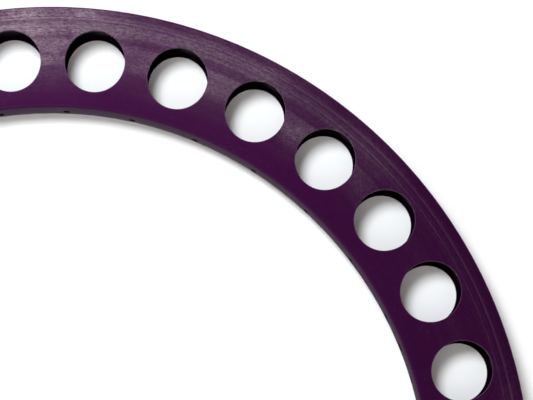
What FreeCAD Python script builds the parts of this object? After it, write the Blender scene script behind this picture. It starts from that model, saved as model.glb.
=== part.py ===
import FreeCAD, Part
import Sketcher
import math
import os

# Deep-section bicycle rim for a 622 mm bead seat, with large round cut-outs
# through both side walls: a rolled hoop, and the sleeve and two pins that
# join its ends.
#
# Frame: origin at the wheel centre, wheel axis along Y, Z up.  Each body is
# modelled with its own datum direction on +Z and then turned about Y:
#   - the hoop has its valve hole on +Z and is turned to the valve's angle,
#   - the joint pieces have their middle on +Z and are turned half a turn
#     further, because the butt seam is opposite the valve hole.
# Section sketches lie in the YZ plane: across is Y, out is the distance from
# the wheel axis.

V = FreeCAD.Vector
AXIS = V(0, 1, 0)
doc = FreeCAD.newDocument("deep_rim")

# ------------------------------------------------------------------ sizes --
# rad_*: distance from the wheel axis.  half_*: distance from the middle plane.
# *_bore: radius of a hole.  *_turn: angle about the wheel axis, in degrees.
SIZES = [
    # alias, value or formula, what it is
    ("rad_tip", 317.0, "flange tip radius"),
    ("rad_seat", 311.0, "bead seat radius (622 mm bead seat)"),
    ("rad_well", 306.5, "tyre well floor radius"),
    ("bridge_wall", 1.6, "wall between tyre well and box cavity"),
    ("rad_step", 304.6, "foot of the brake track step"),
    ("rad_crease", 253.1, "where the side wall turns into the spoke bed"),
    ("rad_bed", 251.0, "crown of the spoke bed"),
    ("bed_wall", 2.6, "spoke bed thickness at the crown"),
    ("half_track", 11.0, "half width over the brake tracks"),
    ("half_side", 10.6, "half width at the top of the side wall"),
    ("half_crease", 8.3, "half width at the crease"),
    ("side_wall", 1.5, "side wall thickness"),
    ("half_flange", 9.4, "half width between the flanges"),
    ("half_hook", 8.8, "half width between the bead hooks"),
    ("half_shelf", 7.2, "inner edge of the bead seat shelf"),
    ("half_well", 5.5, "half width of the well floor"),
    ("line_depth", 0.22, "depth of the wear line turned into the brake track"),
    ("rad_line", 310.0, "radius of the wear line"),
    ("half_port", 8.1, "pin port centre, from the middle plane"),
    ("rad_port", 307.2, "pin port centre radius"),
    ("port_bore", 1.25, "pin port radius"),
    ("rad_row", 283.0, "centre radius of the row of round cut-outs"),
    ("cut_bore", 19.75, "cut-out radius"),
    ("cut_count", 32, "number of cut-outs"),
    ("cut_angle", 95.155, "direction of the first cut-out, valve hole at 90"),
    ("edge_break", 0.3, "chamfer round the cut-outs"),
    ("spoke_bore", 2.2, "spoke hole radius"),
    ("spoke_reach", 275.0, "radius at which the spoke drill stops, in the cavity"),
    ("access_bore", 4.25, "nipple access hole radius"),
    ("access_start", 290.0, "radius at which the access drill starts, in the cavity"),
    ("spoke_count", 36, "number of spoke holes"),
    ("spoke_turn", "=180 / spoke_count", "valve hole to nearest spoke hole: half a pitch"),
    ("valve_bore", 3.25, "valve hole radius"),
    ("valve_turn", 68.0, "turn about Y that carries +Z to the valve hole"),
    ("hoop_turn", 359.98, "angle the rolled extrusion spans: a 0.1 mm butt seam"),
    ("sleeve_top", 261.4, "outer radius of the joint sleeve"),
    ("sleeve_gap", 0.05, "gap round the sleeve in its cavity"),
    ("sleeve_wall", 1.7, "sleeve wall"),
    ("sleeve_turn", 15.0, "angle the sleeve spans"),
    ("pin_radius", 1.22, "joint pin radius"),
    ("pin_turn", 8.0, "angle the joint pins span"),
]
sheet = doc.addObject("Spreadsheet::Sheet", "dims")
for row, (alias, value, words) in enumerate(SIZES, start=1):
    sheet.set("A%d" % row, words)
    sheet.set("B%d" % row, str(value))
    sheet.setAlias("B%d" % row, alias)
doc.recompute()
size = {alias: float(getattr(sheet, alias)) for alias, _, _ in SIZES}

# --------------------------------------------------------------- outlines --
# Each table runs from the middle plane round the +Y side and back to the
# middle plane; both_sides() adds the -Y side.  Columns: across, out, and the
# bulge of the side that starts there (0 for a straight side), which is how
# far the side bows from its chord, to the left of its direction of travel.

# From the well floor, over the bead seat and flange, down the brake track
# and side wall, to the crown of the spoke bed.
HOOP_OUTSIDE = [
    ("0", "rad_well", 0),
    ("half_well", "rad_well", 0),
    ("half_shelf", "rad_seat", 0),
    ("half_flange", "rad_seat", 0),
    ("half_flange", "rad_tip - 2.9", 0),
    ("half_hook", "rad_tip - 1.9", 0.08),
    ("half_hook + 1.0", "rad_tip", 0.05),
    ("half_track - 0.7", "rad_tip", 0.2),
    ("half_track", "rad_tip - 0.9", 0),
    ("half_track", "rad_line + 0.55", 0),
    ("half_track - line_depth", "rad_line + 0.25", 0),
    ("half_track - line_depth", "rad_line - 0.25", 0),
    ("half_track", "rad_line - 0.55", 0),
    ("half_track", "rad_step + 0.8", 0),
    ("half_side", "rad_step", 0),
    ("half_crease", "rad_crease", 0.25),
    ("half_crease - 1.1", "rad_crease - 1.15", 0.13),
    ("0", "rad_bed", 0),
]
BOX_CAVITY = [
    ("0", "rad_well - bridge_wall", 0),
    ("half_side - side_wall - 1.4", "rad_well - bridge_wall", 0.35),
    ("half_side - side_wall - 0.06", "rad_well - bridge_wall - 1.4", 0),
    ("half_crease - side_wall + 0.07", "rad_bed + bed_wall + 1.3", 0.3),
    ("half_crease - side_wall - 1.0", "rad_bed + bed_wall", 0),
    ("0", "rad_bed + bed_wall", 0),
]
SLEEVE_OUTSIDE = [
    ("0", "sleeve_top", 0),
    ("half_crease - side_wall + 0.37 - sleeve_gap", "sleeve_top", 0),
    ("half_crease - side_wall + 0.07 - sleeve_gap", "rad_bed + bed_wall + 1.35", 0),
    ("half_crease - side_wall - 1.1", "rad_bed + bed_wall + sleeve_gap", 0),
    ("0", "rad_bed + bed_wall + sleeve_gap", 0),
]
HOLLOW_SIDE = "half_crease - side_wall - sleeve_wall"
HOLLOW_TOP = "sleeve_top - sleeve_wall"
HOLLOW_FLOOR = "rad_bed + bed_wall + sleeve_gap + sleeve_wall"
SLEEVE_HOLLOW = [
    ("0", HOLLOW_TOP, 0),
    (HOLLOW_SIDE, HOLLOW_TOP, 0),
    (HOLLOW_SIDE, HOLLOW_FLOOR, 0),
    ("0", HOLLOW_FLOOR, 0),
]


# ------------------------------------------------------------ expressions --
# Dimensions are written as sums of aliases and numbers, spaced apart.
def value_of(expression):
    """The number an expression comes to."""
    total, sign = 0.0, 1.0
    for word in expression.split():
        if word == "+":
            sign = 1.0
        elif word == "-":
            sign = -1.0
        elif word[0].isdigit():
            total += sign * float(word)
        else:
            total += sign * size[word]
    return total


def bound(expression):
    """The same expression with each alias read from the sheet."""
    return " ".join(
        word if word in "+-" or word[0].isdigit() else "dims." + word
        for word in expression.split()
    )


# --------------------------------------------------------------- sketches --
def plane(body, role):
    """An origin plane or axis of the body."""
    return [f for f in body.Origin.OriginFeatures if f.Role == role][0]


def new_sketch(body, name, role, offset=None):
    sketch = body.newObject("Sketcher::SketchObject", name)
    sketch.AttachmentSupport = [(plane(body, role), "")]
    sketch.MapMode = "FlatFace"
    if offset is not None:
        sketch.AttachmentOffset = offset
    return sketch


def tie(sketch, kind, refs, expression):
    """Add a dimension that follows the sheet."""
    index = sketch.addConstraint(
        Sketcher.Constraint(kind, *refs, value_of(expression))
    )
    sketch.setExpression("Constraints[%d]" % index, bound(expression))


def place(sketch, geo, end, side, across, out):
    """Hold one point of a geometry; side is 1 for +Y and -1 for -Y."""
    if across == "0":
        sketch.addConstraint(Sketcher.Constraint("PointOnObject", geo, end, -2))
    elif side > 0:
        tie(sketch, "DistanceX", (-1, 1, geo, end), across)
    else:
        tie(sketch, "DistanceX", (geo, end, -1, 1), across)
    tie(sketch, "DistanceY", (-1, 1, geo, end), out)


def add_circle(sketch, centre, radius):
    """Add a circle whose radius is given as an alias."""
    return sketch.addGeometry(Part.Circle(centre, V(0, 0, 1), size[radius]), False)


def both_sides(half):
    """Close a half outline with its mirror image; adds a side to each point."""
    there = [(1, across, out, bulge) for across, out, bulge in half[:-1]]
    # Run backwards, a side starts at its old end, so it takes the bulge of
    # the point before.
    back = [
        (-1, half[i][0], half[i][1], half[i - 1][2]) for i in range(len(half) - 1, 0, -1)
    ]
    return there + back


def add_loop(sketch, half):
    """Draw a closed loop from a half outline."""
    points = both_sides(half)
    count = len(points)
    spots = [
        V(side * value_of(across), value_of(out), 0) for side, across, out, _ in points
    ]
    ends = []  # geometry, its start point number, its end point number
    for i in range(count):
        start, stop, bulge = spots[i], spots[(i + 1) % count], points[i][3]
        if bulge:
            chord = stop - start
            left = V(-chord.y, chord.x, 0)
            left.normalize()
            middle = (start + stop) * 0.5 + left * bulge
            geo = sketch.addGeometry(Part.Arc(start, middle, stop), False)
            # The sketcher stores arcs counter-clockwise, so ends may be swapped.
            forward = sketch.getPoint(geo, 1).distanceToPoint(start) < 1e-6
            ends.append((geo, 1, 2) if forward else (geo, 2, 1))
            sketch.addConstraint(
                Sketcher.Constraint("Radius", geo, sketch.Geometry[geo].Radius)
            )
        else:
            geo = sketch.addGeometry(Part.LineSegment(start, stop), False)
            ends.append((geo, 1, 2))
    for i in range(count):
        geo, first, _ = ends[i]
        before, _, last = ends[i - 1]
        sketch.addConstraint(Sketcher.Constraint("Coincident", before, last, geo, first))
    for (geo, first, _), (side, across, out, _) in zip(ends, points):
        place(sketch, geo, first, side, across, out)


def add_port(sketch, side, radius):
    """A circle at the pin port centre on one side."""
    geo = add_circle(sketch, V(side * size["half_port"], size["rad_port"], 0), radius)
    place(sketch, geo, 3, side, "half_port", "rad_port")
    tie(sketch, "Radius", (geo,), radius)


def drill_sketch(body, name, turn, radius, height=0.0):
    """A circle square to the direction `turn` degrees from +Z about Y,
    `height` out from the wheel axis."""
    rotation = FreeCAD.Rotation(AXIS, turn)
    offset = FreeCAD.Placement(rotation.multVec(V(0, 0, height)), rotation)
    sketch = new_sketch(body, name, "XY_Plane", offset)
    geo = add_circle(sketch, V(0, 0, 0), radius)
    sketch.addConstraint(Sketcher.Constraint("Coincident", geo, 3, -1, 1))
    tie(sketch, "Radius", (geo,), radius)
    return sketch


def follow_spoke(sketch):
    """Keep a drill sketch at the spoke hole nearest the datum direction."""
    sketch.setExpression("AttachmentOffset.Rotation.Angle", "dims.spoke_turn * 1 deg")


# --------------------------------------------------------------- features --
def new_body(name):
    body = doc.addObject("PartDesign::Body", name)
    body.Label = name
    return body


def spin(body, sketch, name, turn):
    """Turn a section about the wheel axis, half of the angle to each side."""
    ring = body.newObject("PartDesign::Revolution", name)
    ring.Profile = sketch
    ring.ReferenceAxis = (sketch, ["H_Axis"])
    ring.Midplane = True
    ring.Angle = size[turn]
    ring.setExpression("Angle", bound(turn))


def drill(body, sketch, name, depth=None):
    """Cut outwards from the sketch, to a depth or through everything."""
    pocket = body.newObject("PartDesign::Pocket", name)
    pocket.Profile = sketch
    pocket.Reversed = True
    if depth is None:
        pocket.Type = 1  # through all
    else:
        pocket.Type = 0  # to a length
        pocket.Length = size[depth]
        pocket.setExpression("Length", bound(depth))
    doc.recompute()
    return pocket


def ring_of(body, name, features, count):
    """Repeat features evenly round the wheel axis."""
    pattern = body.newObject("PartDesign::PolarPattern", name)
    pattern.Originals = features
    pattern.Axis = (plane(body, "Y_Axis"), [""])
    pattern.Angle = 360.0
    pattern.Occurrences = int(size[count])
    pattern.setExpression("Occurrences", bound(count))
    body.Tip = pattern
    doc.recompute()


# ------------------------------------------------------------------- hoop --
def cut_side_walls(hoop):
    """The row of round cut-outs through both side walls."""
    sketch = new_sketch(hoop, "cut_out_sketch", "XZ_Plane")
    angle = math.radians(size["cut_angle"])
    centre = V(size["rad_row"] * math.cos(angle), size["rad_row"] * math.sin(angle), 0)
    guide = sketch.addGeometry(Part.LineSegment(V(0, 0, 0), centre), True)
    sketch.addConstraint(Sketcher.Constraint("Coincident", guide, 1, -1, 1))
    tie(sketch, "Distance", (guide,), "rad_row")
    held = sketch.addConstraint(Sketcher.Constraint("Angle", -1, 1, guide, 1, angle))
    sketch.setExpression("Constraints[%d]" % held, "dims.cut_angle * 1 deg")
    disc = add_circle(sketch, centre, "cut_bore")
    sketch.addConstraint(Sketcher.Constraint("Coincident", disc, 3, guide, 2))
    tie(sketch, "Radius", (disc,), "cut_bore")

    cut_out = hoop.newObject("PartDesign::Pocket", "cut_out")
    cut_out.Profile = sketch
    cut_out.Type = 1  # through all
    cut_out.Midplane = True
    doc.recompute()
    ring_of(hoop, "cut_out_ring", [cut_out], "cut_count")


def cut_out_edges(shape):
    """Names of the cut-out edges on the outside of both side walls."""
    shortest, longest = 100, 140  # a cut-out's rim is about 124 mm round
    centre_slack = 3
    skin_slack = 0.2
    slope = (size["half_side"] - size["half_crease"]) / (
        size["rad_step"] - size["rad_crease"]
    )
    names = []
    for i, edge in enumerate(shape.Edges, start=1):
        if not shortest <= edge.Length <= longest:
            continue
        points = edge.discretize(9)
        # The rim is closed, so its last point repeats the first.
        middle = V(0, 0, 0)
        for point in points[:-1]:
            middle = middle + point * (1.0 / 8)
        if abs(math.hypot(middle.x, middle.z) - size["rad_row"]) > centre_slack:
            continue
        skin = [
            size["half_side"] - slope * (size["rad_step"] - math.hypot(point.x, point.z))
            for point in points
        ]
        if all(abs(abs(p.y) - half) < skin_slack for p, half in zip(points, skin)):
            names.append("Edge%d" % i)
    return names


def build_hoop():
    hoop = new_body("rim_hoop")
    section = new_sketch(hoop, "hoop_section", "YZ_Plane")
    add_loop(section, HOOP_OUTSIDE)
    add_loop(section, BOX_CAVITY)
    # Round ports in the solid corners under the bead seats hold the pins.
    for side in (1, -1):
        add_port(section, side, "port_bore")
    # Not quite a full turn: the two ends butt opposite the valve hole.
    spin(hoop, section, "hoop_ring", "hoop_turn")
    doc.recompute()

    cut_side_walls(hoop)

    # Spoke holes in the bed, each with a nipple access hole in the bridge.
    turn = size["spoke_turn"]
    bed = drill_sketch(hoop, "spoke_sketch", turn, "spoke_bore")
    follow_spoke(bed)
    spoke_hole = drill(hoop, bed, "spoke_hole", depth="spoke_reach")
    bridge = drill_sketch(
        hoop, "access_sketch", turn, "access_bore", height=size["access_start"]
    )
    access_hole = drill(hoop, bridge, "access_hole")
    ring_of(hoop, "spoke_ring", [spoke_hole, access_hole], "spoke_count")

    # The valve hole passes through both bed and bridge.
    valve = drill_sketch(hoop, "valve_sketch", 0.0, "valve_bore")
    drilled = drill(hoop, valve, "valve_hole")

    edges = cut_out_edges(hoop.Shape)
    chamfer = hoop.newObject("PartDesign::Chamfer", "cut_out_edge")
    chamfer.Base = (drilled, edges)
    chamfer.Size = size["edge_break"]
    chamfer.setExpression("Size", bound("edge_break"))
    doc.recompute()
    return hoop


# ----------------------------------------------------------- joint pieces --
def build_sleeve():
    """A hollow bar that bridges the seam in the bottom of the box cavity,
    drilled where the two nearest nipples pass through it."""
    sleeve = new_body("joint_sleeve")
    section = new_sketch(sleeve, "sleeve_section", "YZ_Plane")
    add_loop(section, SLEEVE_OUTSIDE)
    add_loop(section, SLEEVE_HOLLOW)
    spin(sleeve, section, "sleeve_bar", "sleeve_turn")
    doc.recompute()

    turn = size["spoke_turn"]
    one = drill_sketch(sleeve, "nipple_sketch", turn, "access_bore")
    follow_spoke(one)
    drill(sleeve, one, "nipple_pass")
    other = drill_sketch(sleeve, "nipple_sketch_b", -turn, "access_bore")
    drill(sleeve, other, "nipple_pass_b")
    return sleeve


def build_pin(name, side):
    """A round pin, curved with the rim, in the ports on one side."""
    pin = new_body(name)
    section = new_sketch(pin, name + "_section", "YZ_Plane")
    add_port(section, side, "pin_radius")
    spin(pin, section, name + "_bar", "pin_turn")
    return pin


hoop = build_hoop()
joint = [
    build_sleeve(),
    build_pin("joint_pin_front", -1),
    build_pin("joint_pin_back", 1),
]

# -------------------------------------------------------------- placement --
hoop.Placement = FreeCAD.Placement(
    V(0, 0, 0), FreeCAD.Rotation(AXIS, size["valve_turn"])
)
hoop.setExpression("Placement.Rotation.Angle", "dims.valve_turn * 1 deg")
for body in joint:
    body.Placement = FreeCAD.Placement(
        V(0, 0, 0), FreeCAD.Rotation(AXIS, size["valve_turn"] + 180.0)
    )
doc.recompute()

# ----------------------------------------------------------------- export --
for obj in doc.Objects:
    if "Invalid" in obj.State or "Error" in obj.State:
        raise SystemExit("%s failed: %s" % (obj.Name, obj.State))
os.makedirs("parts", exist_ok=True)
for body in [hoop] + joint:
    shape = body.Shape
    if shape.isNull() or not shape.isValid() or len(shape.Solids) != 1:
        raise SystemExit("%s has no single valid solid" % body.Label)
    shape.exportStep(os.path.join("parts", body.Label + ".step"))
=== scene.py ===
import math

import bpy
import bmesh
from mathutils import Matrix, Vector

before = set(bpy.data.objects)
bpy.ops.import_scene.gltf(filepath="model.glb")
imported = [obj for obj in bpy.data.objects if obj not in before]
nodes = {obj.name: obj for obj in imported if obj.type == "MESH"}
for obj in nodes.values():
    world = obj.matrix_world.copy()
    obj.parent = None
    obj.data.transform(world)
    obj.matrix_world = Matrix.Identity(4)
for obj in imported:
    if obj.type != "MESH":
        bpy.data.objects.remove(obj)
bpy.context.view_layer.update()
scene = bpy.context.scene
scene.view_settings.view_transform = "Standard"
scene.view_settings.look = "None"

# The rim: wheel axis along Y, centre at the origin, the photographed side facing -Y.
hoop = nodes["rim_hoop"]
TIP, TRACK = 0.317, 0.011


# ------------------------------------------------------------- node helpers --
class Tree:
    """Short names for building a node tree."""

    def __init__(self, tree):
        self.t = tree
        self.n = tree.nodes
        self.n.clear()

    def add(self, kind, **inputs):
        node = self.n.new(kind)
        for key, value in inputs.items():
            if hasattr(node, key) and key not in node.inputs:
                setattr(node, key, value)
        for key, value in inputs.items():
            if key in node.inputs:
                self.put(node.inputs[key], value)
        return node

    def put(self, socket, value):
        if isinstance(value, bpy.types.NodeSocket):
            self.t.links.new(value, socket)
        elif isinstance(value, bpy.types.Node):
            self.t.links.new(value.outputs[0], socket)
        else:
            socket.default_value = value

    def math(self, op, a, b=0.0, c=0.0, clamp=False):
        node = self.n.new("ShaderNodeMath")
        node.operation = op
        node.use_clamp = clamp
        for i, value in enumerate((a, b, c)):
            self.put(node.inputs[i], value)
        return node.outputs[0]

    def ramp(self, value, stops, smooth=True):
        """A value ramp: stops is [(position, value or colour)]."""
        node = self.n.new("ShaderNodeValToRGB")
        node.color_ramp.interpolation = "EASE" if smooth else "LINEAR"
        while len(node.color_ramp.elements) < len(stops):
            node.color_ramp.elements.new(0.5)
        for e, (at, v) in zip(node.color_ramp.elements, stops):
            e.position = at
        for e, (at, v) in zip(node.color_ramp.elements, stops):
            e.color = (v, v, v, 1) if isinstance(v, (int, float)) else (*v, 1)
        self.put(node.inputs[0], value)
        return node.outputs[0]

    def mix(self, kind, factor, a, b, blend="MIX"):
        node = self.n.new("ShaderNodeMix")
        node.data_type = kind
        pick = {"FLOAT": (0, 2, 3, 0), "RGBA": (0, 6, 7, 2)}[kind]
        if kind == "RGBA":
            node.blend_type = blend
        self.put(node.inputs[pick[0]], factor)
        for i, value in ((pick[1], a), (pick[2], b)):
            if kind == "RGBA" and isinstance(value, tuple) and len(value) == 3:
                value = (*value, 1)
            self.put(node.inputs[i], value)
        return node.outputs[pick[3]]


def polar(t):
    """Radius from the wheel axis, arc angle and height along the axis, in metres and turns."""
    where = t.add("ShaderNodeTexCoord").outputs["Object"]
    split = t.add("ShaderNodeSeparateXYZ", Vector=where).outputs
    x, y, z = split[0], split[1], split[2]
    r = t.math("SQRT", t.math("ADD", t.math("MULTIPLY", x, x), t.math("MULTIPLY", z, z)))
    angle = t.math("ARCTAN2", z, x)
    return where, r, angle, y


def join(t, x, y, z):
    return t.add("ShaderNodeCombineXYZ", X=x, Y=y, Z=z).outputs[0]


# ---------------------------------------------------------------- materials --
def anodised():
    """Satin purple anodised aluminium: lathe-turned brake tracks, drawing lines round the extrusion,
    fine grain, cloudy handling marks, a few scuffs, and edges painted paler, partly from wear and partly as a painted
    glint."""
    mat = bpy.data.materials.new("anodised_purple")
    mat.use_nodes = True
    t = Tree(mat.node_tree)
    where, r, angle, y = polar(t)
    arc = t.math("MULTIPLY", angle, 0.285)

    # Fine lines round the wheel: noise that changes with radius and hardly along the arc.
    def rings(scale, slow, detail=2.0, shift=0.0):
        v = join(t, t.math("MULTIPLY", r, scale), t.math("MULTIPLY", arc, slow), t.math("ADD", t.math("MULTIPLY", y, scale), shift))
        return t.add("ShaderNodeTexNoise", Vector=v, Scale=1.0, Detail=detail, Roughness=0.6).outputs["Fac"]

    fine = rings(2600.0, 9.0)
    broad = rings(420.0, 2.5, 1.0, 7.3)
    swell = rings(130.0, 1.6, 1.0, 3.1)
    grain = t.add("ShaderNodeTexNoise", Vector=where, Scale=1500.0, Detail=2.0, Roughness=0.7).outputs["Fac"]
    brush = t.add("ShaderNodeTexNoise", Vector=join(t, t.math("MULTIPLY", r, 1500.0), t.math("MULTIPLY", arc, 420.0), t.math("MULTIPLY", y, 1500.0)), Scale=1.0, Detail=2.0, Roughness=0.75).outputs["Fac"]
    cloud = t.add("ShaderNodeTexNoise", Vector=where, Scale=26.0, Detail=4.0, Roughness=0.62).outputs["Fac"]
    haze = t.add("ShaderNodeTexNoise", Vector=where, Scale=9.0, Detail=2.0, Roughness=0.5).outputs["Fac"]

    track = t.ramp(r, [(0.3040, 0.0), (0.3062, 1.0)])  # 1 on the brake track
    bed = t.ramp(r, [(0.2522, 1.0), (0.2536, 0.0)])  # 1 on the spoke bed
    line_depth = t.mix("FLOAT", track, 0.35, 1.0)

    def band(low, high, soft):
        """1 where the radius lies between low and high."""
        up = t.ramp(r, [(low - soft, 0.0), (low, 1.0)])
        return t.math("MULTIPLY", up, t.ramp(r, [(high, 1.0), (high + soft, 0.0)]))

    # The rounded shoulders of the track's foot and of the wear line.
    shoulder = t.math("MAXIMUM", band(0.3043, 0.3057, 0.0004), t.math("MULTIPLY", band(0.3094, 0.3106, 0.0004), 0.8))
    # Painted shade: inside the box section the hollow's walls are coloured nearly black, as the shade in the hollow.
    skin_y = t.math("ADD", 0.0083, t.math("MULTIPLY", t.math("SUBTRACT", r, 0.2531), 0.0447))
    inside = t.math("LESS_THAN", t.math("ABSOLUTE", y), t.math("SUBTRACT", skin_y, 0.00135))
    inside = t.math("MULTIPLY", inside, t.math("MULTIPLY", t.math("GREATER_THAN", r, 0.2533), t.math("LESS_THAN", r, 0.3052)))

    # Painted shade round each spoke hole, widening its dark mouth: they sit every 10 degrees, 5 degrees off the valve
    # hole at 22.
    def mouth(step, offset, wide):
        turn = t.math("SUBTRACT", t.math("MULTIPLY", angle, 180.0 / math.pi), offset)
        near = t.math("PINGPONG", turn, step / 2)
        along = t.math("MULTIPLY", near, math.pi / 180.0 * 0.2515)
        far = t.math("SQRT", t.math("ADD", t.math("MULTIPLY", along, along), t.math("MULTIPLY", y, y)))
        return t.ramp(t.math("MULTIPLY", far, 100.0), [(wide * 100.0, 1.0), (wide * 100.0 + 0.05, 0.0)])

    hole_shade = t.math("MAXIMUM", mouth(10.0, 27.0, 0.0024), mouth(360.0, 22.0, 0.0034))
    hole_shade = t.math("MULTIPLY", hole_shade, t.math("LESS_THAN", r, 0.2540))

    # Scuffs: short, thin, pale strokes at scattered angles.
    def strokes(scale, turn, cut, seed):
        m = t.add("ShaderNodeMapping", Vector=where)
        m.inputs["Rotation"].default_value = (0.0, turn, 0.0)
        m.inputs["Scale"].default_value = (scale, scale, scale * 0.12)
        m.inputs["Location"].default_value = (seed, seed * 0.7, seed * 1.3)
        n = t.add("ShaderNodeTexNoise", Vector=m.outputs[0], Scale=1.0, Detail=1.0, Roughness=0.4).outputs["Fac"]
        return t.ramp(n, [(cut, 0.0), (cut + 0.03, 1.0)])

    marks = strokes(2600.0, 0.35, 0.765, 11.0)
    for k, (turn, seed) in enumerate(((1.25, 23.0), (-0.7, 41.0), (2.2, 5.0))):
        marks = t.math("MAXIMUM", marks, strokes(2300.0 + 260 * k, turn, 0.775, seed))

    # Edges: where a normal rounded over half a millimetre leaves the true one. They are painted paler, partly from wear
    # and partly as a painted glint.
    rounded = t.add("ShaderNodeBevel", Radius=0.0005)
    rounded.samples = 4
    bend = t.n.new("ShaderNodeVectorMath")
    bend.operation = "DOT_PRODUCT"
    t.put(bend.inputs[0], rounded.outputs[0])
    t.put(bend.inputs[1], t.n.new("ShaderNodeNewGeometry").outputs["Normal"])
    edge_wear_and_glint = t.ramp(bend.outputs["Value"], [(0.90, 1.0), (0.99, 0.0)])

    deep = (0.0235, 0.0024, 0.0225)
    pale = (0.029, 0.0036, 0.0275)
    tone = t.math("ADD", t.math("MULTIPLY", cloud, 0.55), t.math("MULTIPLY", haze, 0.45))
    colour = t.mix("RGBA", t.ramp(tone, [(0.35, 0.0), (0.68, 0.55)]), deep, pale)
    colour = t.mix("RGBA", t.math("MULTIPLY", t.ramp(fine, [(0.5, 0.0), (0.72, 0.5)]), line_depth), colour, (0.038, 0.006, 0.037))
    # Painted light: the spoke bed lightened, as by light bounced off the white board.
    colour = t.mix("RGBA", t.math("MULTIPLY", bed, 0.35), colour, (0.075, 0.045, 0.075))
    colour = t.mix("RGBA", t.math("MULTIPLY", marks, 0.25), colour, (0.16, 0.10, 0.16))
    # Painted glint: edges coloured paler, partly for wear, partly for light caught on them.
    colour = t.mix("RGBA", t.math("MULTIPLY", edge_wear_and_glint, 0.30), colour, (0.10, 0.05, 0.10))

    # Painted sheen: the colour is lightened towards magenta, and given more sheen, where the surface turns away from
    # the eye; the flanges and the tyre well show it everywhere.
    true_normal = t.n.new("ShaderNodeNewGeometry").outputs["Normal"]
    side = t.math("GREATER_THAN", t.math("ABSOLUTE", t.add("ShaderNodeSeparateXYZ", Vector=true_normal).outputs[1]), 0.5)
    side = t.math("MAXIMUM", side, t.math("GREATER_THAN", r, 0.3055))
    tilt = t.ramp(t.add("ShaderNodeLayerWeight", Blend=0.5).outputs["Facing"], [(0.13, 0.0), (0.40, 1.0)])
    grazing_sheen = t.math("MULTIPLY", t.math("MULTIPLY", tilt, side), t.math("ADD", 0.55, t.math("MULTIPLY", tone, 0.6)))
    colour = t.mix("RGBA", grazing_sheen, colour, (0.150, 0.022, 0.160))
    # Painted shade: the hollow inside the box section coloured nearly black.
    colour = t.mix("RGBA", t.math("MULTIPLY", inside, 0.88), colour, (0.0015, 0.0005, 0.0015))
    # Painted shade: the mouths of the spoke holes and the valve hole coloured nearly black.
    colour = t.mix("RGBA", t.math("MULTIPLY", hole_shade, 0.92), colour, (0.002, 0.001, 0.002))

    rough = t.math("ADD", 0.56, t.math("MULTIPLY", t.math("SUBTRACT", cloud, 0.5), 0.22))
    rough = t.math("ADD", rough, t.math("MULTIPLY", marks, 0.12))
    rough = t.math("SUBTRACT", rough, t.math("MULTIPLY", track, 0.03), clamp=True)

    height = t.math("MULTIPLY", t.math("SUBTRACT", fine, 0.5), t.math("MULTIPLY", line_depth, 0.000010))
    height = t.math("ADD", height, t.math("MULTIPLY", t.math("SUBTRACT", broad, 0.5), t.math("MULTIPLY", line_depth, 0.00009)))
    height = t.math("ADD", height, t.math("MULTIPLY", t.math("SUBTRACT", swell, 0.5), 0.00016))
    height = t.math("ADD", height, t.math("MULTIPLY", t.math("SUBTRACT", grain, 0.5), 0.000012))
    height = t.math("SUBTRACT", height, t.math("MULTIPLY", marks, 0.00001))
    bump = t.add("ShaderNodeBump", Height=height, Distance=1.0, Strength=1.0)

    # Brushing direction: along the arc, so highlights spread across the lines.
    tangent = t.add("ShaderNodeTangent")
    tangent.direction_type = "RADIAL"
    tangent.axis = "Y"

    shader = t.add("ShaderNodeBsdfPrincipled")
    t.put(shader.inputs["Base Color"], colour)
    t.put(shader.inputs["Metallic"], 0.55)
    t.put(shader.inputs["Roughness"], rough)
    t.put(shader.inputs["Anisotropic"], 0.3)
    t.put(shader.inputs["Specular IOR Level"], 0.0)
    t.put(shader.inputs["Tangent"], tangent)
    t.put(shader.inputs["Normal"], bump)

    # The clear outer skin: a soft pale sheen, stronger on the outer half of the side wall and the brake track, and
    # patchy from handling; its strength along the arc is a painted highlight, raised where the lamp's reflection falls.
    # Lines turned into the track catch more of it.
    out_to = t.math("ADD", r, t.math("MULTIPLY", t.math("SUBTRACT", haze, 0.5), 0.022))
    reach = t.ramp(out_to, [(0.2620, 0.02), (0.2960, 1.0)])
    patch = t.ramp(t.math("ADD", t.math("MULTIPLY", haze, 0.6), t.math("MULTIPLY", cloud, 0.4)), [(0.42, 0.28), (0.60, 1.0)])
    lines = t.ramp(swell, [(0.44, 0.42), (0.60, 1.0)])
    speck = t.math("ADD", 0.30, t.math("MULTIPLY", t.ramp(t.math("ADD", t.math("MULTIPLY", brush, 0.6), t.math("MULTIPLY", grain, 0.4)), [(0.36, 0.0), (0.66, 1.0)]), 1.25))
    # Painted highlight: the sheen weighted along the arc to where the lamp's reflection falls.
    arc_highlight = t.ramp(t.math("DIVIDE", angle, math.pi), [(0.20, 0.50), (0.245, 0.54), (0.307, 1.0), (0.369, 0.34), (0.432, 0.18), (0.475, 0.60), (0.53, 0.52)])
    patch = t.math("MULTIPLY", patch, t.math("MULTIPLY", arc_highlight, 2.0))
    skin = t.math("MULTIPLY", t.math("MULTIPLY", reach, patch), t.math("MULTIPLY", lines, speck))
    # The edges get more sheen too, as a painted glint.
    skin = t.math("ADD", t.math("MULTIPLY", skin, 0.78), t.math("MULTIPLY", edge_wear_and_glint, 0.45))
    skin = t.math("ADD", skin, t.math("MULTIPLY", t.math("MULTIPLY", shoulder, speck), t.math("ADD", 0.12, t.math("MULTIPLY", lines, 0.40))))
    # More painted sheen where the surface turns away from the eye.
    skin = t.math("ADD", skin, t.math("MULTIPLY", t.math("MULTIPLY", grazing_sheen, speck), 0.45))
    # Painted shade: no sheen inside the hollow nor round the spoke holes.
    skin = t.math("MULTIPLY", skin, t.math("SUBTRACT", 1.0, t.math("MAXIMUM", inside, hole_shade)))
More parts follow.
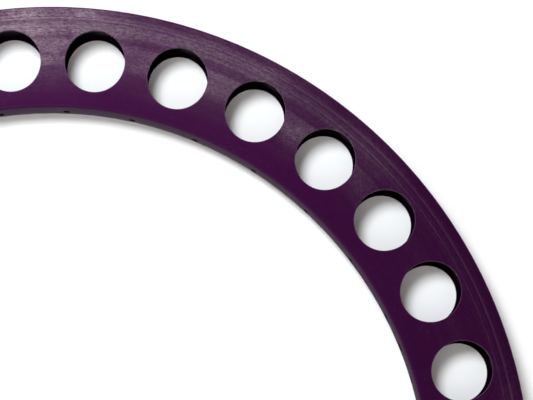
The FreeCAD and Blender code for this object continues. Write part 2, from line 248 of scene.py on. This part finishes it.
    # The shoulders are too fine for the mesh to round, so there the sheen sees the flat of the side.
    flat = join(t, 0.0, t.math("SIGN", y), 0.0)
    facing = t.n.new("ShaderNodeMix")
    facing.data_type = "VECTOR"
    t.put(facing.inputs[0], t.math("MULTIPLY", shoulder, 0.85))
    t.put(facing.inputs[4], bump)
    t.put(facing.inputs[5], flat)
    fresnel = t.add("ShaderNodeFresnel", IOR=1.5, Normal=bump)
    sheen = t.add("ShaderNodeBsdfAnisotropic", Color=(1.0, 0.80, 0.83, 1), Roughness=0.335, Normal=facing.outputs[1])
    sheen.distribution = "BECKMANN"
    both = t.n.new("ShaderNodeMixShader")
    t.put(both.inputs[0], t.math("MULTIPLY", fresnel, skin, clamp=True))
    t.put(both.inputs[1], shader)
    t.put(both.inputs[2], sheen)
    out = t.add("ShaderNodeOutputMaterial")
    t.put(out.inputs["Surface"], both)
    return mat


def mill():
    """Plain extruded aluminium with drawing lines, for the pieces inside the joint."""
    mat = bpy.data.materials.new("mill_aluminium")
    mat.use_nodes = True
    t = Tree(mat.node_tree)
    where, r, angle, y = polar(t)
    v = join(t, t.math("MULTIPLY", r, 2400.0), t.math("MULTIPLY", angle, 5.0), t.math("MULTIPLY", y, 2400.0))
    lines = t.add("ShaderNodeTexNoise", Vector=v, Scale=1.0, Detail=3.0, Roughness=0.6).outputs["Fac"]
    cloud = t.add("ShaderNodeTexNoise", Vector=where, Scale=120.0, Detail=3.0, Roughness=0.6).outputs["Fac"]
    colour = t.mix("RGBA", t.ramp(lines, [(0.3, 0.0), (0.7, 1.0)]), (0.50, 0.50, 0.52), (0.74, 0.74, 0.75))
    rough = t.math("ADD", 0.28, t.math("MULTIPLY", cloud, 0.22))
    bump = t.add("ShaderNodeBump", Height=t.math("MULTIPLY", lines, 0.00003), Distance=1.0, Strength=1.0)
    shader = t.add("ShaderNodeBsdfPrincipled")
    t.put(shader.inputs["Base Color"], colour)
    t.put(shader.inputs["Metallic"], 1.0)
    t.put(shader.inputs["Roughness"], rough)
    t.put(shader.inputs["Normal"], bump)
    out = t.add("ShaderNodeOutputMaterial")
    t.put(out.inputs["Surface"], shader)
    return mat


def dress(obj, mat):
    obj.data.materials.clear()
    obj.data.materials.append(mat)
    for p in obj.data.polygons:
        p.material_index = 0


purple, silver = anodised(), mill()
dress(hoop, purple)
for name in ("joint_sleeve", "joint_pin_front", "joint_pin_back"):
    dress(nodes[name], silver)

# -------------------------------------------------------------------- stage --
def plain(name, colour, rough):
    mat = bpy.data.materials.new(name)
    mat.use_nodes = True
    t = Tree(mat.node_tree)
    where = t.add("ShaderNodeTexCoord").outputs["Object"]
    n = t.add("ShaderNodeTexNoise", Vector=where, Scale=6.0, Detail=3.0).outputs["Fac"]
    c = t.mix("RGBA", t.ramp(n, [(0.3, 0.0), (0.7, 1.0)]), tuple(v * 0.985 for v in colour), colour)
    shader = t.add("ShaderNodeBsdfDiffuse", Color=c)
    shader.inputs["Roughness"].default_value = rough
    out = t.add("ShaderNodeOutputMaterial")
    t.put(out.inputs["Surface"], shader)
    return mat


def sheet(name, corners, mat):
    mesh = bpy.data.meshes.new(name)
    mesh.from_pydata(corners, [], [(0, 1, 2, 3)])
    mesh.materials.append(mat)
    obj = bpy.data.objects.new(name, mesh)
    scene.collection.objects.link(obj)
    return obj


pale_floor = plain("pale_floor", (0.86, 0.855, 0.845), 0.5)
floor_z = -TIP - 0.0004
floor = sheet("floor", [(-6, -6, floor_z), (6, -6, floor_z), (6, 6, floor_z), (-6, 6, floor_z)], pale_floor)
# A white board just behind the rim, as the white surface the real one lies on.
board_white = plain("board_white", (0.90, 0.895, 0.885), 0.5)
by = TRACK + 0.0008
board = sheet("backdrop", [(-2.2, by, floor_z), (2.2, by, floor_z), (2.2, by, 2.4), (-2.2, by, 2.4)], board_white)

# ------------------------------------------------------------------- camera --
# Axes of the ring as seen from in front: x right, y up, z towards the camera.
FOCAL, CX, CY = 1423.215, 147.885, 509.372
TURN = (-0.68080, 2.28021, 0.0)
FROM = (104.577, -1.635, 944.442)


def turn(axis, degrees):
    return Matrix.Rotation(math.radians(degrees), 3, axis)


seen = turn("Z", TURN[2]) @ turn("Y", TURN[1]) @ turn("X", TURN[0])
to_row = Matrix(((1, 0, 0), (0, 0, -1), (0, 1, 0)))
look = to_row @ seen
eye = to_row @ Vector(FROM) / 1000.0
data = bpy.data.cameras.new("camera")
cam = bpy.data.objects.new("camera", data)
scene.collection.objects.link(cam)
scene.camera = cam
data.sensor_fit = "HORIZONTAL"
data.sensor_width = 36.0
data.lens = FOCAL / 533.0 * 36.0
cam.rotation_mode = "QUATERNION"
cam.matrix_world = Matrix.Translation(eye) @ look.to_4x4()
data.clip_start, data.clip_end = 0.05, 50.0


# The photograph is an off-centre part of its lens's picture, so the lens is shifted for that view only: the shift, and the
# board behind the rim, follow the camera's place and go away when the camera is taken round the object.
def only_here(owner, path, index, here, elsewhere):
    curve = owner.driver_add(path, index) if index is not None else owner.driver_add(path)
    d = curve.driver
    d.type = "SCRIPTED"
    for name, channel in (("cx", "LOC_X"), ("cy", "LOC_Y"), ("cz", "LOC_Z")):
        v = d.variables.new()
        v.name = name
        v.type = "TRANSFORMS"
        v.targets[0].id = cam
        v.targets[0].transform_type = channel
        v.targets[0].transform_space = "WORLD_SPACE"
    d.expression = "%.6f if abs(cx - %.6f) + abs(cy - %.6f) + abs(cz - %.6f) < 0.002 else %.6f" % (
        here, eye.x, eye.y, eye.z, elsewhere)


only_here(data, "shift_x", None, (533 / 2 - CX) / 533, 0.0)
only_here(data, "shift_y", None, (CY - 400 / 2) / 533, 0.0)
only_here(board, "location", 2, 0.0, -8.0)

# ------------------------------------------------------------------- lights --
def area(name, place, aim, size, power, colour=(1, 1, 1)):
    light = bpy.data.lights.new(name, "AREA")
    light.energy = power
    light.color = colour
    light.shape = "DISK"
    light.size = size
    obj = bpy.data.objects.new(name, light)
    scene.collection.objects.link(obj)
    obj.location = place
    obj.rotation_mode = "QUATERNION"
    obj.rotation_quaternion = (Vector(aim) - Vector(place)).to_track_quat("-Z", "Y")
    return obj


key = area("key", (-0.263, -1.164, 0.524), (0.05, 0.0, 0.06), 0.512, 16.8, (0.95, 1.0, 1.05))
# The rim lies on its board only in the main view.  Standing on the floor it is lit more broadly, from above and from behind.
top = area("top", (0.5, -0.9, 2.5), (0.0, 0.0, 0.0), 2.6, 75.0)
rear = area("rear", (-0.9, 2.0, 1.5), (0.0, 0.0, 0.0), 2.0, 55.0)
only_here(key.data, "energy", None, 16.8, 16.0)
only_here(top.data, "energy", None, 0.0, 42.0)
only_here(rear.data, "energy", None, 0.0, 46.0)

# A soft room: bright round the sides, dim behind the camera, so the faces turned to it stay deep in colour.
world = bpy.data.worlds.new("studio")
scene.world = world
world.use_nodes = True
t = Tree(world.node_tree)
path = t.add("ShaderNodeLightPath")
way = t.add("ShaderNodeTexCoord").outputs["Generated"]
front = t.math("MULTIPLY", t.add("ShaderNodeSeparateXYZ", Vector=way).outputs[1], -1.0)
room = t.ramp(front, [(0.42, 0.74), (0.80, 0.10)])
level = t.mix("FLOAT", path.outputs["Is Camera Ray"], room, 0.86)
back = t.add("ShaderNodeBackground", Color=(1.0, 0.90, 0.85, 1), Strength=level)
out = t.add("ShaderNodeOutputWorld")
t.put(out.inputs["Surface"], back)

bpy.context.view_layer.update()
